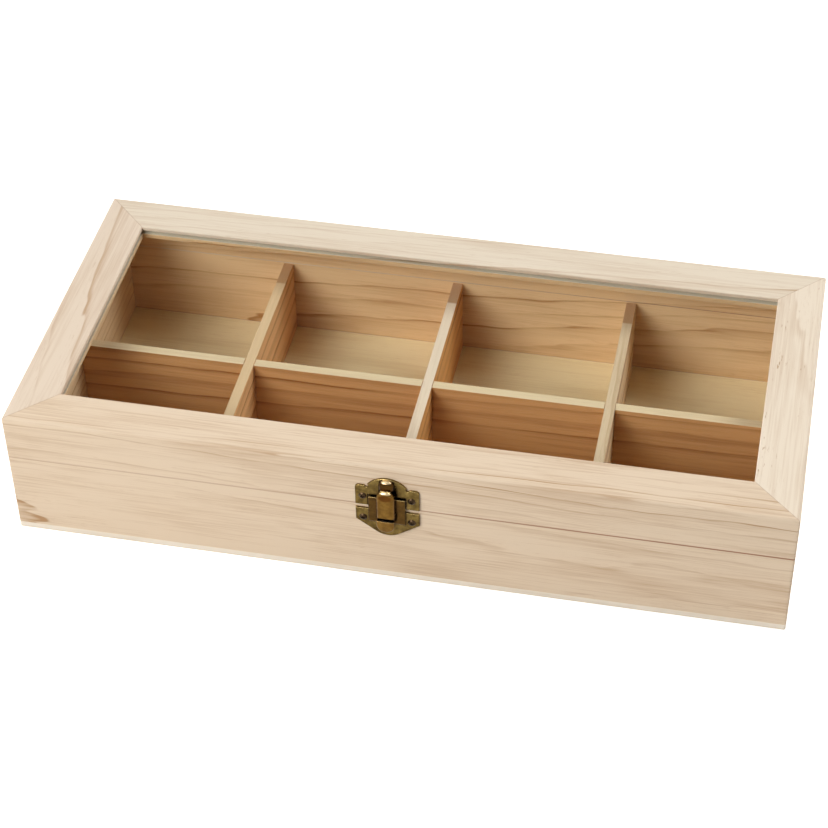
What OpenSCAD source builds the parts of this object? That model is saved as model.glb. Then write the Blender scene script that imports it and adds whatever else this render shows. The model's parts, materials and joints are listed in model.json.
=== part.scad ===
// Tea bag organizer box: a pale wooden case with eight compartments, a lid with
// a glass window on two small hinges at the back, and a sprung clasp in front.
// Millimetres, +Z up. The origin is the centre of the underside, the clasp is
// on the -Y side, and +X is the right end seen from the clasp.

/* [Case] */
// Outside length, left to right
case_length = 335; // [270:1:420]
// Outside depth, front to back
case_depth = 160; // [120:1:220]
// Height of the base, from the underside to the line where the lid opens
base_height = 41.5; // [34:0.5:80]
// Height of the lid above that line
lid_height = 21.8; // [18:0.1:40]
// Thickness of the four outside walls
wall_thickness = 7; // [5.8:0.1:10]
// Thickness of the plywood bottom
bottom_thickness = 3; // [2.4:0.1:6]
// Rounding of the upright corners
corner_round = 1; // [0.5:0.1:2]

/* [Lid] */
// Width of the frame around the window, seen from above
frame_width = 20; // [14:0.5:32]
// Wood above the glass
upper_lip = 1.8; // [1.2:0.1:3]
// Wood below the glass
lower_lip = 2.3; // [1.5:0.1:4]
// Depth of the glass groove in the frame
groove_depth = 5; // [3:0.5:7]
// Thickness of the glass
glass_thickness = 2; // [1.6:0.1:3]
// Rounding of the lid's outer top edge
top_round = 1.3; // [0.5:0.1:2]
// Angle at which the open lid comes to rest on the base
opening_angle = 105; // [90:1:110]

/* [Dividers] */
// Thickness of the dividers
divider_thickness = 4.5; // [3:0.1:8]
// Distance of the dividers' top edges below the rim of the base
divider_drop = 0.5; // [0:0.1:6]

/* [Hinges] */
// Length of a hinge
hinge_length = 25; // [18:1:40]
// Distance from the end of the case to the middle of a hinge
hinge_inset = 62; // [40:1:90]
// Thickness of a hinge leaf
leaf_thickness = 0.8; // [0.6:0.1:1]
// Outside diameter of the hinge barrel
barrel_diameter = 2.8; // [2.4:0.1:3.4]
// Diameter of the hinge pin
hinge_pin_diameter = 1.4; // [1.1:0.1:1.6]

/* [Clasp] */
// Place of the clasp to the right of the middle of the front
clasp_offset = -1; // [-60:1:60]
// Width of the two clasp plates
clasp_width = 27.3; // [26:0.1:32]
// Thickness of the sheet metal of the plates
plate_thickness = 1; // [0.8:0.1:1.2]
// Width of the lever
lever_width = 7.8; // [7.6:0.1:9]
// Diameter of the lever's pin
lever_pin_diameter = 1; // [0.8:0.1:1.1]

/* [Fasteners] */
// Diameter of the clasp screws' shanks
clasp_screw_diameter = 1.6; // [1.2:0.1:2]
// Diameter of the clasp screws' round heads
clasp_screw_head = 3.4; // [3:0.1:3.8]
// Diameter of the hinge screws' shanks
hinge_screw_diameter = 1.1; // [0.9:0.1:1.3]
// Diameter of the hinge screws' flat heads
hinge_screw_head = 2.4; // [2:0.1:2.8]
// Diameter of the nails that hold the bottom
nail_diameter = 1.2; // [1:0.1:1.6]
// Length of those nails
nail_length = 15; // [10:0.5:20]

/* [Hidden] */
$fn = 64;

// Cuts reach this far past the face that they open
overcut = 1;
// Radial play of a pin in the bore it turns in
running_play = 0.05;
// Radial play of a screw, nail or riveted pin in its own hole
shank_play = 0.03;
// Play around metal that is let into wood
mortise_play = 0.15;
// Play between a divider and the wall or slot beside it
divider_play = 0.2;
// Height of the glass groove beyond the glass
glass_play = 0.1;
// Distance from the edge of the glass to the bottom of its groove
glass_gap = 0.5;
// Gap that is left between the two bevels when the lid is fully open
bevel_gap = 0.1;

// Case
half_length = case_length / 2;
half_depth = case_depth / 2;
joint_z = base_height;
top_z = base_height + lid_height;
inner_length = case_length - 2 * wall_thickness;
inner_depth = case_depth - 2 * wall_thickness;

// Window and glass
groove_height = glass_thickness + glass_play;
frame_thickness = upper_lip + groove_height + lower_lip;
groove_z = top_z - upper_lip - groove_height;
window_round = 0.5;
window_length = case_length - 2 * frame_width;
window_depth = case_depth - 2 * frame_width;
glass_bite = groove_depth - glass_gap;

// Dividers: four columns and two rows of compartments
column_count = 4;
divider_top = joint_z - divider_drop;
divider_height = divider_top - bottom_thickness;
column_pitch = (inner_length + divider_thickness) / column_count;
lap_z = bottom_thickness + divider_height / 2;
slot_width = divider_thickness + 2 * divider_play;

// Hinges: the barrel's back is flush with the back of the case
barrel_radius = barrel_diameter / 2;
hinge_axis_y = half_depth - barrel_radius;
hinge_x = half_length - hinge_inset;
knuckle_length = hinge_length / 3;
knuckle_gap = 0.1;
barrel_room = barrel_radius + mortise_play;
leaf_shoulder = 0.6;
leaf_front_y = half_depth - wall_thickness + leaf_shoulder;
leaf_flat_y = hinge_axis_y - barrel_room;
hinge_pin_radius = hinge_pin_diameter / 2;
pin_head_rim = 0.3;
pin_head_radius = hinge_pin_radius + pin_head_rim;
pin_head_height = 0.4;
hinge_screw_inset = 4;
hinge_screw_x = hinge_length / 2 - hinge_screw_inset;
hinge_screw_y = (leaf_front_y + leaf_flat_y) / 2;
hinge_screw_length = 7;
hinge_screw_sink = 0.6;
hinge_screw_tip = 1;
hinge_screw_slot = 0.4;
hinge_screw_slot_depth = 0.25;
bevel_slope = opening_angle / 2;
bevel_start_y = hinge_axis_y - bevel_gap / 2 / sin(bevel_slope);

// Clasp: heights are counted from the joint, depths from the front of the case
ear_outer = clasp_width / 2;
screw_inset = 3.25;
screw_across = ear_outer - screw_inset;
catch_foot = 0.3;
catch_screw_height = 5.5;
ear_top = 11.3;
ear_round = 1.6;
dome_radius = 10.2;
dome_centre = 6.1;
dome_notch = 0.7;
channel_half = 7.9;
channel_play = 0.2;
channel_top = 6.2;
notch_top = channel_top + channel_play;
keeper_half = 2.9;
keeper_foot = 7.1;
keeper_nose = 9.9;
keeper_ledge = 11.05;
keeper_slot_top = 12.5;
keeper_top = 15.8;
keeper_proud = 2.2;
keeper_depth = plate_thickness + keeper_proud;
keeper_slot_floor = 0.7;
keeper_slot_depth = plate_thickness + keeper_slot_floor;
keeper_round = 2;
latch_ear_top = -1.6;
latch_ear_foot = -8.2;
latch_screw_height = -6.7;
nose_height = -16;
nose_radius = 8.5;
nose_slope = 35.5;
channel_skin = 0.8;
channel_proud = 1.2;
channel_depth = plate_thickness + channel_proud;
channel_foot = -7.5;
channel_ramp = 1.1;
lid_clear = 0.3;

// Lever, its pin and its spring
lever_skin = 0.7;
lever_half = lever_width / 2;
pin_height = -0.5;
lever_pin_radius = lever_pin_diameter / 2;
flange_gap = 0.2;
flange_back = channel_depth + flange_gap;
flange_rim = 0.55;
flange_radius = lever_pin_radius + flange_rim;
pin_depth = flange_back + flange_radius;
lever_inner = pin_depth + flange_radius;
flange_top = 11.4;
flange_slope = 1.2;
flange_foot = pin_height - 1;
lever_front = lever_inner + lever_skin;
lever_top = 12.2;
lever_bend = 1.6;
lever_top_round = 3.4;
claw_thickness = 0.85;
claw_half = 2.2;
claw_gap = 0.3;
claw_tip = keeper_slot_depth + claw_gap;
strap_foot = -2.6;
lip_top = -3.8;
lip_foot = -10.2;
lip_proud = 0.7;
lip_skin = 0.85;
lip_lean = 0.3;
lip_round = 3.2;
lug_rim = 0.4;
lug_radius = lever_pin_radius + lug_rim;
lug_inner = 1.9;
lug_outer = 2.7;
wire_radius = 0.2;
coil_play = 0.08;
coil_radius = lever_pin_radius + wire_radius + coil_play;
coil_turns = 3.5;
coil_pitch = 0.46;
coil_steps = 16;
wire_sides = 8;
leg_foot = -4.3;
leg_depth = channel_depth + wire_radius + running_play;
thumb_leg_foot = pin_height - 1.15;
thumb_leg_depth = pin_depth + 0.3;

// Screws and nails
clasp_screw_cover = 1.2;
clasp_screw_reach = wall_thickness - clasp_screw_cover;
clasp_screw_rise = 0.9;
clasp_screw_tip = 1.2;
nail_head_rim = 0.5;
nail_head_radius = nail_diameter / 2 + nail_head_rim;
nail_head_height = 0.5;
nail_recess = 0.2;
nail_tip = 1.5;
nail_from_end = 30;
tip_room = 0.4;

// Sides of the case are counted anticlockwise seen from above
front = 0;
right = 1;
back = 2;
left = 3;

function side_length(side) = side % 2 == 0 ? case_length : case_depth;
function side_distance(side) = side % 2 == 0 ? half_depth : half_length;
function nail_places(side) =
    let (end = side_length(side) / 2 - nail_from_end)
    side % 2 == 0 ? [-end, 0, end] : [-end, end];

// Turns a child drawn with x along the wall and y inwards to its side of the case
module on_side(side) {
    rotate([0, 0, 90 * side])
        translate([0, -side_distance(side), 0])
            children();
}

// Extrudes a profile of (distance inwards, height) along a wall
module along_wall(length) {
    rotate([90, 0, 90])
        linear_extrude(length, center = true)
            children();
}

// The waste of a rounded corner at the origin of a profile in the +x +y quarter
module corner_waste(radius) {
    difference() {
        translate([-overcut, -overcut])
            square(radius + overcut);
        translate([radius, radius])
            circle(radius);
    }
}

// Plan of the case with its rounded upright corners
module case_plan() {
    square([case_length - 2 * corner_round, case_depth], center = true);
    square([case_length, case_depth - 2 * corner_round], center = true);
    for (x = [-1, 1], y = [-1, 1])
        translate([x * (half_length - corner_round), y * (half_depth - corner_round)])
            circle(corner_round);
}

// A profile run along one side, cut to 45 degree mitres at both ends
module mitred_bar(side) {
    length = side_length(side);
    reach = frame_width + overcut;
    intersection() {
        on_side(side)
            along_wall(length)
                children();
        on_side(side)
            linear_extrude(top_z)
                polygon([
                    [-length / 2, 0], [length / 2, 0],
                    [length / 2 - reach, reach], [-length / 2 + reach, reach]
                ]);
        linear_extrude(top_z)
            case_plan();
    }
}

// The bevel along the back of the joint: upwards in the lid, downwards in the base
module opening_bevel(direction) {
    run = half_depth + overcut - bevel_start_y;
    translate([0, 0, joint_z])
        along_wall(case_length + 2 * overcut)
            polygon([
                [bevel_start_y, 0], [bevel_start_y + run, 0],
                [bevel_start_y + run, direction * run * tan(bevel_slope)]
            ]);
}

module base_wall(side) {
    color("burlywood")
        difference() {
            mitred_bar(side)
                translate([0, bottom_thickness])
                    square([wall_thickness, joint_z - bottom_thickness]);
            opening_bevel(-1);
            nail_holes(side);
            if (side == front)
                at_clasp(latch_screw_height)
                    clasp_screw_holes();
            if (side == back)
                for (x = [-hinge_x, hinge_x])
                    hinge_mortise(x, -1);
        }
}

module lid_rail_profile() {
    difference() {
        union() {
            translate([0, joint_z])
                square([wall_thickness, lid_height]);
            translate([0, top_z - frame_thickness])
                square([frame_width, frame_thickness]);
        }
        translate([frame_width - groove_depth, groove_z])
            square([groove_depth + overcut, groove_height]);
        translate([0, top_z])
            mirror([0, 1])
                corner_waste(top_round);
        translate([frame_width, top_z])
            mirror([1, 0])
                mirror([0, 1])
                    corner_waste(window_round);
    }
}

module lid_rail(side) {
    color("wheat")
        difference() {
            mitred_bar(side)
                lid_rail_profile();
            opening_bevel(1);
            if (side == front)
                at_clasp(catch_screw_height)
                    clasp_screw_holes();
            if (side == back)
                for (x = [-hinge_x, hinge_x])
                    hinge_mortise(x, 1);
        }
}

module glass_pane() {
    color("lightcyan", 0.35)
        translate([0, 0, groove_z + glass_thickness / 2])
            cube([
                window_length + 2 * glass_bite, window_depth + 2 * glass_bite, glass_thickness
            ], center = true);
}

module bottom_panel() {
    color("cornsilk")
        difference() {
            linear_extrude(bottom_thickness)
                case_plan();
            for (side = [front, right, back, left])
                nail_holes(side);
        }
}

// A nail points up from the underside
module nail() {
    translate([0, 0, nail_recess])
        cylinder(r = nail_head_radius, h = nail_head_height);
    translate([0, 0, nail_recess])
        cylinder(d = nail_diameter, h = nail_length - nail_tip);
    translate([0, 0, nail_recess + nail_length - nail_tip])
        cylinder(d1 = nail_diameter, d2 = 0, h = nail_tip);
}

module nail_hole() {
    translate([0, 0, -overcut])
        cylinder(r = nail_head_radius + shank_play, h = overcut + nail_recess + nail_head_height);
    cylinder(r = nail_diameter / 2 + shank_play, h = nail_recess + nail_length + tip_room);
}

module at_nails(side) {
    on_side(side)
        for (x = nail_places(side))
            translate([x, wall_thickness / 2, 0])
                children();
}

module nail_holes(side) {
    at_nails(side)
        nail_hole();
}

module bottom_panel_nails() {
    color("dimgray")
        for (side = [front, right, back, left])
            at_nails(side)
                nail();
}

// The long divider runs left to right and is slotted from above
module long_divider() {
    color("burlywood")
        difference() {
            translate([0, 0, bottom_thickness + divider_height / 2])
                cube([inner_length - 2 * divider_play, divider_thickness, divider_height], center = true);
            for (step = [-1, 0, 1])
                translate([step * column_pitch, 0, lap_z + divider_height / 2])
                    cube([slot_width, divider_thickness + 2 * overcut, divider_height], center = true);
        }
}

// A cross divider runs front to back and is slotted from below
module cross_divider(step) {
    color("burlywood")
        translate([step * column_pitch, 0, 0])
            difference() {
                translate([0, 0, bottom_thickness + divider_height / 2])
                    cube([
                        divider_thickness, inner_depth - 2 * divider_play, divider_height
                    ], center = true);
                translate([0, 0, lap_z + divider_play - divider_height / 2])
                    cube([divider_thickness + 2 * overcut, slot_width, divider_height], center = true);
            }
}

// Points a child that is drawn upwards up (1) or down (-1)
module facing(direction) {
    mirror([0, 0, direction > 0 ? 0 : 1])
        children();
}

// The room that a hinge takes in the wall above (1) or below (-1) the joint
module hinge_mortise(x, direction) {
    barrel_length = hinge_length + 2 * (pin_head_height + mortise_play);
    mortise_front = leaf_front_y - mortise_play;
    translate([x, hinge_axis_y, joint_z])
        rotate([0, 90, 0])
            cylinder(r = barrel_room, h = barrel_length, center = true);
    translate([x, (mortise_front + hinge_axis_y) / 2, joint_z])
        cube([
            hinge_length + 2 * mortise_play, hinge_axis_y - mortise_front, 2 * leaf_thickness
        ], center = true);
    for (along = [-hinge_screw_x, hinge_screw_x])
        translate([x + along, hinge_screw_y, joint_z])
            facing(direction)
                cylinder(r = hinge_screw_diameter / 2 + shank_play, h = hinge_screw_length + tip_room);
}

// A row of knuckles: the base leaf has the two outer ones, the lid leaf the middle one
module knuckles(places, radius, gap) {
    for (place = places)
        translate([place * knuckle_length, hinge_axis_y, joint_z])
            rotate([0, 90, 0])
                cylinder(r = radius, h = knuckle_length + gap, center = true);
}

// A leaf lies in the wood of its own side, with its flat face in the joint
module hinge_leaf(x, direction) {
    own = direction > 0 ? [0] : [-1, 1];
    other = direction > 0 ? [-1, 1] : [0];
    leaf_z = direction > 0 ? joint_z : joint_z - leaf_thickness;
    bore = hinge_pin_radius + running_play;
    color("peru")
        translate([x, 0, 0])
            difference() {
                union() {
                    difference() {
                        translate([-hinge_length / 2, leaf_front_y, leaf_z])
                            cube([hinge_length, hinge_axis_y - leaf_front_y, leaf_thickness]);
                        knuckles(other, barrel_room, 2 * knuckle_gap);
                    }
                    knuckles(own, barrel_radius, -knuckle_gap);
                }
                translate([0, hinge_axis_y, joint_z])
                    rotate([0, 90, 0])
                        cylinder(r = bore, h = hinge_length + overcut, center = true);
                hinge_screw_pair(direction, shank_play);
            }
}

module hinge_pin(x) {
    color("sienna")
        translate([x, hinge_axis_y, joint_z])
            rotate([0, 90, 0]) {
                cylinder(r = hinge_pin_radius, h = hinge_length, center = true);
                for (end = [-1, 1])
                    translate([0, 0, end * (hinge_length + pin_head_height) / 2])
                        cylinder(r = pin_head_radius, h = pin_head_height, center = true);
            }
}

// A flat-headed screw that points up, its head flush with the joint
module hinge_screw(play) {
    shank = hinge_screw_diameter / 2 + play;
    head = hinge_screw_head / 2 + play;
    cylinder(r1 = head, r2 = shank, h = hinge_screw_sink);
    cylinder(r = shank, h = hinge_screw_length - hinge_screw_tip);
    translate([0, 0, hinge_screw_length - hinge_screw_tip])
        cylinder(r1 = shank, r2 = 0, h = hinge_screw_tip);
}

module hinge_screw_pair(direction, play) {
    for (along = [-hinge_screw_x, hinge_screw_x])
        translate([along, hinge_screw_y, joint_z])
            facing(direction)
                hinge_screw(play);
}

module hinge_screws(x, direction) {
    color("sienna")
        translate([x, 0, 0])
            difference() {
                hinge_screw_pair(direction, 0);
                for (along = [-hinge_screw_x, hinge_screw_x])
                    translate([along, hinge_screw_y, joint_z])
                        rotate([0, 0, 30])
                            cube([
                                hinge_screw_head + overcut, hinge_screw_slot, 2 * hinge_screw_slot_depth
                            ], center = true);
            }
}

// The clasp's own frame: x across, y out of the front face, z up from the joint
module at_clasp(height) {
    translate([clasp_offset, -half_depth, joint_z + height])
        children();
}

// Extrudes an outline of (across, height) outwards from the front face
module outwards(depth) {
    rotate([90, 0, 0])
        linear_extrude(depth)
            children();
}

// Extrudes a profile of (depth, height) across the clasp
module across(width) {
    rotate([90, 0, -90])
        linear_extrude(width, center = true)
            children();
}

// A round-headed wood screw with a cross recess, its head outwards
module clasp_screw() {
    radius = clasp_screw_head / 2;
    ball = (pow(radius, 2) + pow(clasp_screw_rise, 2)) / (2 * clasp_screw_rise);
    recess_depth = 0.6;
    recess_width = 0.5;
    recess_length = 2;
    shank = clasp_screw_reach + plate_thickness - clasp_screw_tip;
    rotate([90, 0, 0]) {
        difference() {
            intersection() {
                translate([0, 0, clasp_screw_rise - ball])
                    sphere(ball);
                cylinder(r = radius, h = clasp_screw_rise);
            }
            for (turn = [20, 110])
                rotate([0, 0, turn])
                    translate([0, 0, clasp_screw_rise])
                        cube([recess_length, recess_width, 2 * recess_depth], center = true);
        }
        translate([0, 0, -shank])
            cylinder(d = clasp_screw_diameter, h = shank);
        translate([0, 0, -shank - clasp_screw_tip])
            cylinder(r1 = 0, r2 = clasp_screw_diameter / 2, h = clasp_screw_tip);
    }
}

module clasp_screws() {
    color("saddlebrown")
        for (side = [-1, 1])
            translate([side * screw_across, -plate_thickness, 0])
                clasp_screw();
}

module clasp_screw_holes() {
    for (side = [-1, 1])
        translate([side * screw_across, 0, 0])
            rotate([90, 0, 0])
                cylinder(
                    r = clasp_screw_diameter / 2 + shank_play,
                    h = 2 * (clasp_screw_reach + tip_room), center = true
                );
}

// Two ears and a dome, with a notch below for the latch plate's channel
module catch_outline() {
    difference() {
        union() {
            difference() {
                translate([-ear_outer, catch_foot])
                    square([2 * ear_outer, ear_top - catch_foot]);
                for (side = [0, 1])
                    mirror([side, 0])
                        translate([-ear_outer, ear_top])
                            mirror([0, 1])
                                corner_waste(ear_round);
            }
            intersection() {
                translate([0, dome_centre])
                    circle(dome_radius);
                translate([-dome_radius, dome_centre])
                    square(2 * dome_radius);
            }
        }
        for (side = [-1, 1])
            translate([side * sqrt(pow(dome_radius, 2) - pow(ear_top - dome_centre, 2)), ear_top])
                circle(dome_notch);
        translate([-channel_half - channel_play, catch_foot - overcut])
            square([2 * (channel_half + channel_play), notch_top - catch_foot + overcut]);
    }
}

// The keeper: a rounded rib, with a slot that the lever's claw drops into
module keeper_profile() {
    difference() {
        polygon([
            [plate_thickness / 2, keeper_foot], [plate_thickness, keeper_foot],
            [keeper_depth, keeper_nose], [keeper_depth, keeper_top],
            [plate_thickness / 2, keeper_top]
        ]);
        translate([keeper_slot_depth, keeper_ledge])
            square([keeper_depth, keeper_slot_top - keeper_ledge]);
        translate([keeper_depth, keeper_top])
            mirror([1, 0])
                mirror([0, 1])
                    corner_waste(keeper_round);
    }
}

module catch_plate() {
    color("darkgoldenrod")
        at_clasp(0) {
            difference() {
                outwards(plate_thickness)
                    catch_outline();
                translate([0, 0, catch_screw_height])
                    clasp_screw_holes();
            }
            across(2 * keeper_half)
                keeper_profile();
        }
}

// Two ears above a shallow V with a round nose
module latch_outline() {
    centre = nose_height + nose_radius;
    tangent = [nose_radius * sin(nose_slope), centre - nose_radius * cos(nose_slope)];
    polygon([
        [-ear_outer, latch_ear_top], [-ear_outer, latch_ear_foot],
        [-tangent[0], tangent[1]], [tangent[0], tangent[1]],
        [ear_outer, latch_ear_foot], [ear_outer, latch_ear_top]
    ]);
    intersection() {
        translate([0, centre])
            circle(nose_radius);
        translate([-tangent[0], centre - 2 * nose_radius])
            square([2 * tangent[0], 2 * nose_radius]);
    }
}

// The channel stands out from the plate, and reaches up in front of the lid
module channel_profile() {
    polygon([
        [0, channel_foot - channel_ramp], [plate_thickness, channel_foot - channel_ramp],
        [channel_depth, channel_foot], [channel_depth, channel_top], [0, channel_top]
    ]);
}

module channel_hollow() {
    polygon([
        [-overcut, channel_foot], [channel_depth - channel_skin, channel_foot],
        [channel_depth - channel_skin, channel_top + overcut], [-overcut, channel_top + overcut]
    ]);
}

module lever_lugs() {
    for (side = [-1, 1])
        translate([side * (lug_inner + lug_outer) / 2, 0, 0])
            across(lug_outer - lug_inner)
                difference() {
                    union() {
                        translate([pin_depth, pin_height])
                            circle(lug_radius);
                        translate([channel_depth - channel_skin / 2, pin_height - lug_radius])
                            square([pin_depth - channel_depth + channel_skin / 2, 2 * lug_radius]);
                    }
                    translate([pin_depth, pin_height])
                        circle(lever_pin_radius + running_play);
                }
}

module latch_plate() {
    color("darkgoldenrod")
        at_clasp(0) {
            difference() {
                union() {
                    outwards(plate_thickness)
                        latch_outline();
                    across(2 * channel_half)
                        channel_profile();
                }
                across(2 * (channel_half - channel_skin))
                    channel_hollow();
                translate([-clasp_width, -lid_clear, -lid_clear])
                    cube([2 * clasp_width, lid_clear + overcut, channel_top + 2 * overcut]);
                translate([0, 0, latch_screw_height])
                    clasp_screw_holes();
            }
            lever_lugs();
        }
}

// The lever's front, from the bend at the claw down to the thumb lip
module lever_web_profile() {
    difference() {
        polygon([
            [lever_front, strap_foot], [lever_front, lever_top],
            [lever_inner, lever_top], [lever_inner, strap_foot + lever_skin],
            [lever_inner - lever_skin, strap_foot + lever_skin],
            [lever_inner - lever_skin, lip_top - lip_skin],
            [lever_front + lip_proud - lip_skin, lip_top - lip_skin],
            [lever_front + lip_proud - lip_skin - lip_lean, lip_foot],
            [lever_front + lip_proud - lip_lean, lip_foot],
            [lever_front + lip_proud, lip_top],
            [lever_inner, lip_top], [lever_inner, strap_foot]
        ]);
        translate([lever_front, lever_top])
            mirror([1, 0])
                mirror([0, 1])
                    corner_waste(lever_bend);
    }
}

module claw_profile() {
    translate([claw_tip, lever_top - claw_thickness])
        square([lever_front - lever_bend - claw_tip, claw_thickness]);
    translate([lever_inner - lever_bend, lever_top - lever_bend])
        difference() {
            square(lever_bend + lever_skin / 2);
            square(lever_bend - claw_thickness);
            translate([lever_bend + lever_skin, lever_bend])
                mirror([1, 0])
                    mirror([0, 1])
                        corner_waste(lever_bend);
        }
}

// A side flange: round at the pin, and cut back below it to clear the channel
module lever_flange_profile() {
    difference() {
        union() {
            translate([pin_depth, pin_height])
                circle(flange_radius);
            polygon([
                [flange_back, pin_height], [flange_back, flange_top - flange_slope],
                [flange_back + flange_slope / 2, flange_top],
                [lever_inner + lever_skin / 2, flange_top],
                [lever_inner + lever_skin / 2, strap_foot + lever_skin / 2],
                [lever_inner - lever_skin / 2, strap_foot - lever_skin],
                [pin_depth, flange_foot]
            ]);
        }
        translate([pin_depth, pin_height])
            circle(lever_pin_radius + shank_play);
    }
}

module lever_outline() {
    height = lever_top - lip_foot;
    difference() {
        translate([-lever_half, lip_foot])
            square([lever_width, height]);
        for (side = [0, 1])
            mirror([side, 0]) {
                translate([-lever_half, lip_foot])
                    corner_waste(lip_round);
                translate([-lever_half, lever_top])
                    mirror([0, 1])
                        corner_waste(lever_top_round);
            }
    }
}

module latch_lever() {
    color("goldenrod")
        at_clasp(0)
            intersection() {
                union() {
                    across(lever_width)
                        lever_web_profile();
                    across(2 * claw_half)
                        claw_profile();
                    for (side = [-1, 1])
                        translate([side * (lever_half - lever_skin / 2), 0, 0])
                            across(lever_skin)
                                lever_flange_profile();
                }
                outwards(lever_front + lip_proud + overcut)
                    lever_outline();
            }
}

module latch_pin() {
    color("sienna")
        at_clasp(pin_height)
            translate([0, -pin_depth, 0])
                rotate([0, 90, 0])
                    cylinder(r = lever_pin_radius, h = lever_width, center = true);
}

// The spring's wire: up from the channel, round the pin, and down behind the lip
function coil_point(step) =
    let (turn = 180 - 360 * step / coil_steps,
         across = (step / coil_steps - coil_turns / 2) * coil_pitch)
    [across, -(pin_depth + coil_radius * cos(turn)), pin_height + coil_radius * sin(turn)];

spring_path = concat(
    [[-coil_turns / 2 * coil_pitch, -leg_depth, leg_foot]],
    [for (step = [0 : coil_turns * coil_steps]) coil_point(step)],
    [[coil_turns / 2 * coil_pitch, -thumb_leg_depth, thumb_leg_foot]]
);

function unit(v) = v / norm(v);
function path_direction(path, i) =
    unit(path[min(i + 1, len(path) - 1)] - path[max(i - 1, 0)]);
function wire_ring(path, i) =
    let (direction = path_direction(path, i),
         side = unit(cross(direction, [1, 0, 0])),
         other = cross(direction, side))
    [for (k = [0 : wire_sides - 1])
        let (turn = 360 * k / wire_sides)
        path[i] + wire_radius * (cos(turn) * side + sin(turn) * other)];

module latch_spring() {
    rings = len(spring_path);
    points = [for (i = [0 : rings - 1]) each wire_ring(spring_path, i)];
    faces = concat(
        [[for (k = [0 : wire_sides - 1]) k]],
        [for (i = [0 : rings - 2], k = [0 : wire_sides - 1])
            [i * wire_sides + k, (i + 1) * wire_sides + k,
             (i + 1) * wire_sides + (k + 1) % wire_sides, i * wire_sides + (k + 1) % wire_sides]],
        [[for (k = [wire_sides - 1 : -1 : 0]) (rings - 1) * wire_sides + k]]
    );
    color("silver")
        at_clasp(0)
            polyhedron(points, faces);
}

bottom_panel();
bottom_panel_nails();
base_wall(front);  // base_front_wall
base_wall(back);  // base_back_wall
base_wall(left);  // base_left_wall
base_wall(right);  // base_right_wall
long_divider();
cross_divider(-1);  // cross_divider_left
cross_divider(0);  // cross_divider_middle
cross_divider(1);  // cross_divider_right
lid_rail(front);  // lid_front_rail
lid_rail(back);  // lid_back_rail
lid_rail(left);  // lid_left_rail
lid_rail(right);  // lid_right_rail
glass_pane();
catch_plate();
at_clasp(catch_screw_height) clasp_screws();  // catch_plate_screws
latch_plate();
at_clasp(latch_screw_height) clasp_screws();  // latch_plate_screws
latch_lever();
latch_pin();
latch_spring();
hinge_leaf(-hinge_x, -1);  // left_hinge_base_leaf
hinge_leaf(-hinge_x, 1);  // left_hinge_lid_leaf
hinge_pin(-hinge_x);  // left_hinge_pin
hinge_screws(-hinge_x, -1);  // left_hinge_base_screws
hinge_screws(-hinge_x, 1);  // left_hinge_lid_screws
hinge_leaf(hinge_x, -1);  // right_hinge_base_leaf
hinge_leaf(hinge_x, 1);  // right_hinge_lid_leaf
hinge_pin(hinge_x);  // right_hinge_pin
hinge_screws(hinge_x, -1);  // right_hinge_base_screws
hinge_screws(hinge_x, 1);  // right_hinge_lid_screws
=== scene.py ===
import json
import math

import bmesh
import bpy
import numpy as np
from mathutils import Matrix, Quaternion, Vector

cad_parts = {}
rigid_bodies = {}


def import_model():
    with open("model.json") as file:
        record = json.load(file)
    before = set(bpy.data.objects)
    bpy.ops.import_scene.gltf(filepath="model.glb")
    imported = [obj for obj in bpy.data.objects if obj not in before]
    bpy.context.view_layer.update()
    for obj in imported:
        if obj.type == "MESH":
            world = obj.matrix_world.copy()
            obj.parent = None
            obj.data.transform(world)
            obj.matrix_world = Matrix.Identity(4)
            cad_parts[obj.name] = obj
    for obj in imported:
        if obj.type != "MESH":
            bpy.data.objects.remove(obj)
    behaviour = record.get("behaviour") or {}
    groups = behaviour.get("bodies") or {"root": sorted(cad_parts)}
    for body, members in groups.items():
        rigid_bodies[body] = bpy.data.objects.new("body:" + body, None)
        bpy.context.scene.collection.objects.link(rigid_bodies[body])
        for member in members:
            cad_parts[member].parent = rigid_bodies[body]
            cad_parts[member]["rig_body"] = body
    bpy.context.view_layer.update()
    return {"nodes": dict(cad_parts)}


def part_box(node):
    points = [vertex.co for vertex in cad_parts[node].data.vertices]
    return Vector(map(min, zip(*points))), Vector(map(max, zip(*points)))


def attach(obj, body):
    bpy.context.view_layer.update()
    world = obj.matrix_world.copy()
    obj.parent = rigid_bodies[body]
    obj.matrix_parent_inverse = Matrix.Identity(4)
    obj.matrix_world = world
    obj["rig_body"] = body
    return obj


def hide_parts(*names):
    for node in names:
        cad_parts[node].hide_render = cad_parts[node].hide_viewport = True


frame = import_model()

# Outside walls of the base: four planed paulownia boards 7 mm thick, mitred and glued at the corners.
# The boards are bare. Outside they are sanded pale, and inside they are browner and more saturated, partly
# a planed face and partly painted shade of the inside of the case.
edge_ease = 0.12
rim_ease = 0.2
front_low, front_high = (Vector(corner) * 1000 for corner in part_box("base_front_wall"))
case_front = front_low.y
joint_height = front_high.z
bottom_top = front_low.z
inner_half_depth = -front_high.y
inner_half_length = -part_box("base_left_wall")[1][0] * 1000
mitre_line = inner_half_length - inner_half_depth
groove_middle = (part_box("glass_pane")[0][2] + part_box("glass_pane")[1][2]) * 500
# Painted shadow: how far the back rail's shadow is painted along the rear of each cross divider's top
flange_shadow_length = 16.0
sanded_line = "B48E68"
planed_line = "A36F3C"
seam_brown = "8C4416"


def linear(hex_colour):
    """The linear RGBA of an sRGB hex colour."""
    channels = np.array([int(hex_colour[i:i + 2], 16) for i in (0, 2, 4)]) / 255
    low = channels / 12.92
    high = ((channels + 0.055) / 1.055) ** 2.4
    return (*np.where(channels <= 0.04045, low, high), 1.0)


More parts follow.
